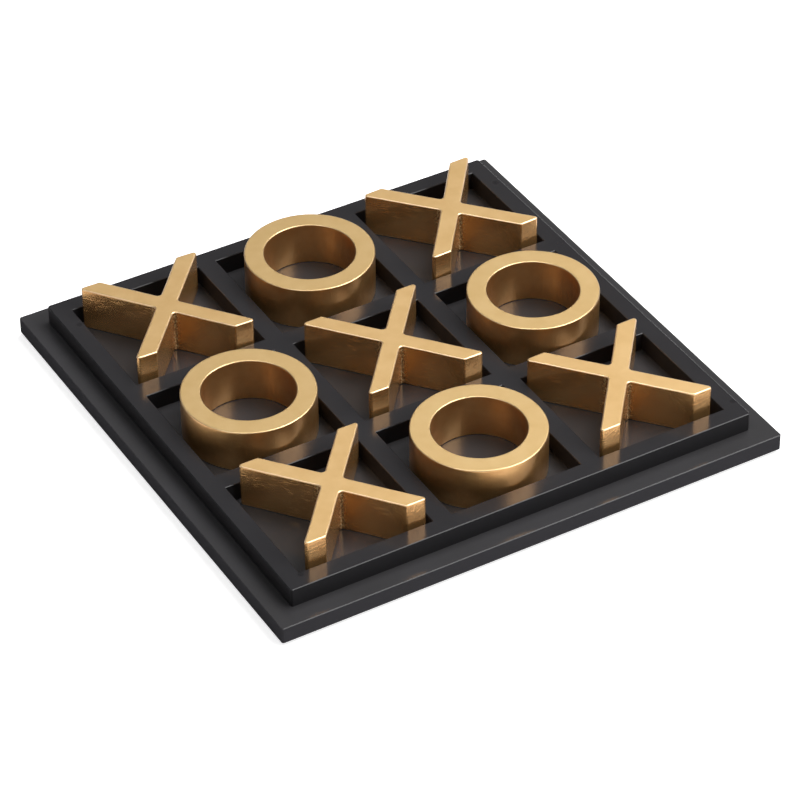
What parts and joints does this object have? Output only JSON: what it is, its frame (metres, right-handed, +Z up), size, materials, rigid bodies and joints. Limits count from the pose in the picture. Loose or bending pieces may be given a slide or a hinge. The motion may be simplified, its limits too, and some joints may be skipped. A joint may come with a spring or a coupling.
{
  "type": "tic-tac-toe board",
  "caption": "Square black board with a raised grid on a stepped base plate; loose gold crosses and rings stand in its cells and lift out.",
  "frame": {"origin": "centre of the footprint, on the surface that the felt pads stand on", "axes": "+Z up, +Y to the back, +X to the right as the picture shows the board"},
  "size_m": [0.356, 0.356, 0.0435],
  "materials": {
    "black_paint": "wood fibre board painted satin black",
    "gold_paint": "wood covered in brushed gold leaf paint, satin",
    "felt": "black felt"
  },
  "bodies": {
    "board": {"base_plate": "black_paint", "front_rail": "black_paint", "back_rail": "black_paint", "left_rail": "black_paint", "right_rail": "black_paint", "front_divider": "black_paint", "back_divider": "black_paint", "left_divider": "black_paint", "right_divider": "black_paint", "pad_front_left": "felt", "pad_front_right": "felt", "pad_back_left": "felt", "pad_back_right": "felt"},
    "x_front_left": {"x_front_left": "gold_paint"},
    "x_front_right": {"x_front_right": "gold_paint"},
    "x_centre": {"x_centre": "gold_paint"},
    "x_back_left": {"x_back_left": "gold_paint"},
    "x_back_right": {"x_back_right": "gold_paint"},
    "o_front": {"o_front": "gold_paint"},
    "o_left": {"o_left": "gold_paint"},
    "o_right": {"o_right": "gold_paint"},
    "o_back": {"o_back": "gold_paint"}
  },
  "joints": [
    {"name": "x_front_left_lift", "type": "slide", "parent": "board", "child": "x_front_left", "axis": [0, 0, 1], "range_m": [0, 0.05]},
    {"name": "x_front_right_lift", "type": "slide", "parent": "board", "child": "x_front_right", "axis": [0, 0, 1], "range_m": [0, 0.05]},
    {"name": "x_centre_lift", "type": "slide", "parent": "board", "child": "x_centre", "axis": [0, 0, 1], "range_m": [0, 0.05]},
    {"name": "x_back_left_lift", "type": "slide", "parent": "board", "child": "x_back_left", "axis": [0, 0, 1], "range_m": [0, 0.05]},
    {"name": "x_back_right_lift", "type": "slide", "parent": "board", "child": "x_back_right", "axis": [0, 0, 1], "range_m": [0, 0.05]},
    {"name": "o_front_lift", "type": "slide", "parent": "board", "child": "o_front", "axis": [0, 0, 1], "range_m": [0, 0.05]},
    {"name": "o_left_lift", "type": "slide", "parent": "board", "child": "o_left", "axis": [0, 0, 1], "range_m": [0, 0.05]},
    {"name": "o_right_lift", "type": "slide", "parent": "board", "child": "o_right", "axis": [0, 0, 1], "range_m": [0, 0.05]},
    {"name": "o_back_lift", "type": "slide", "parent": "board", "child": "o_back", "axis": [0, 0, 1], "range_m": [0, 0.05]}
  ]
}
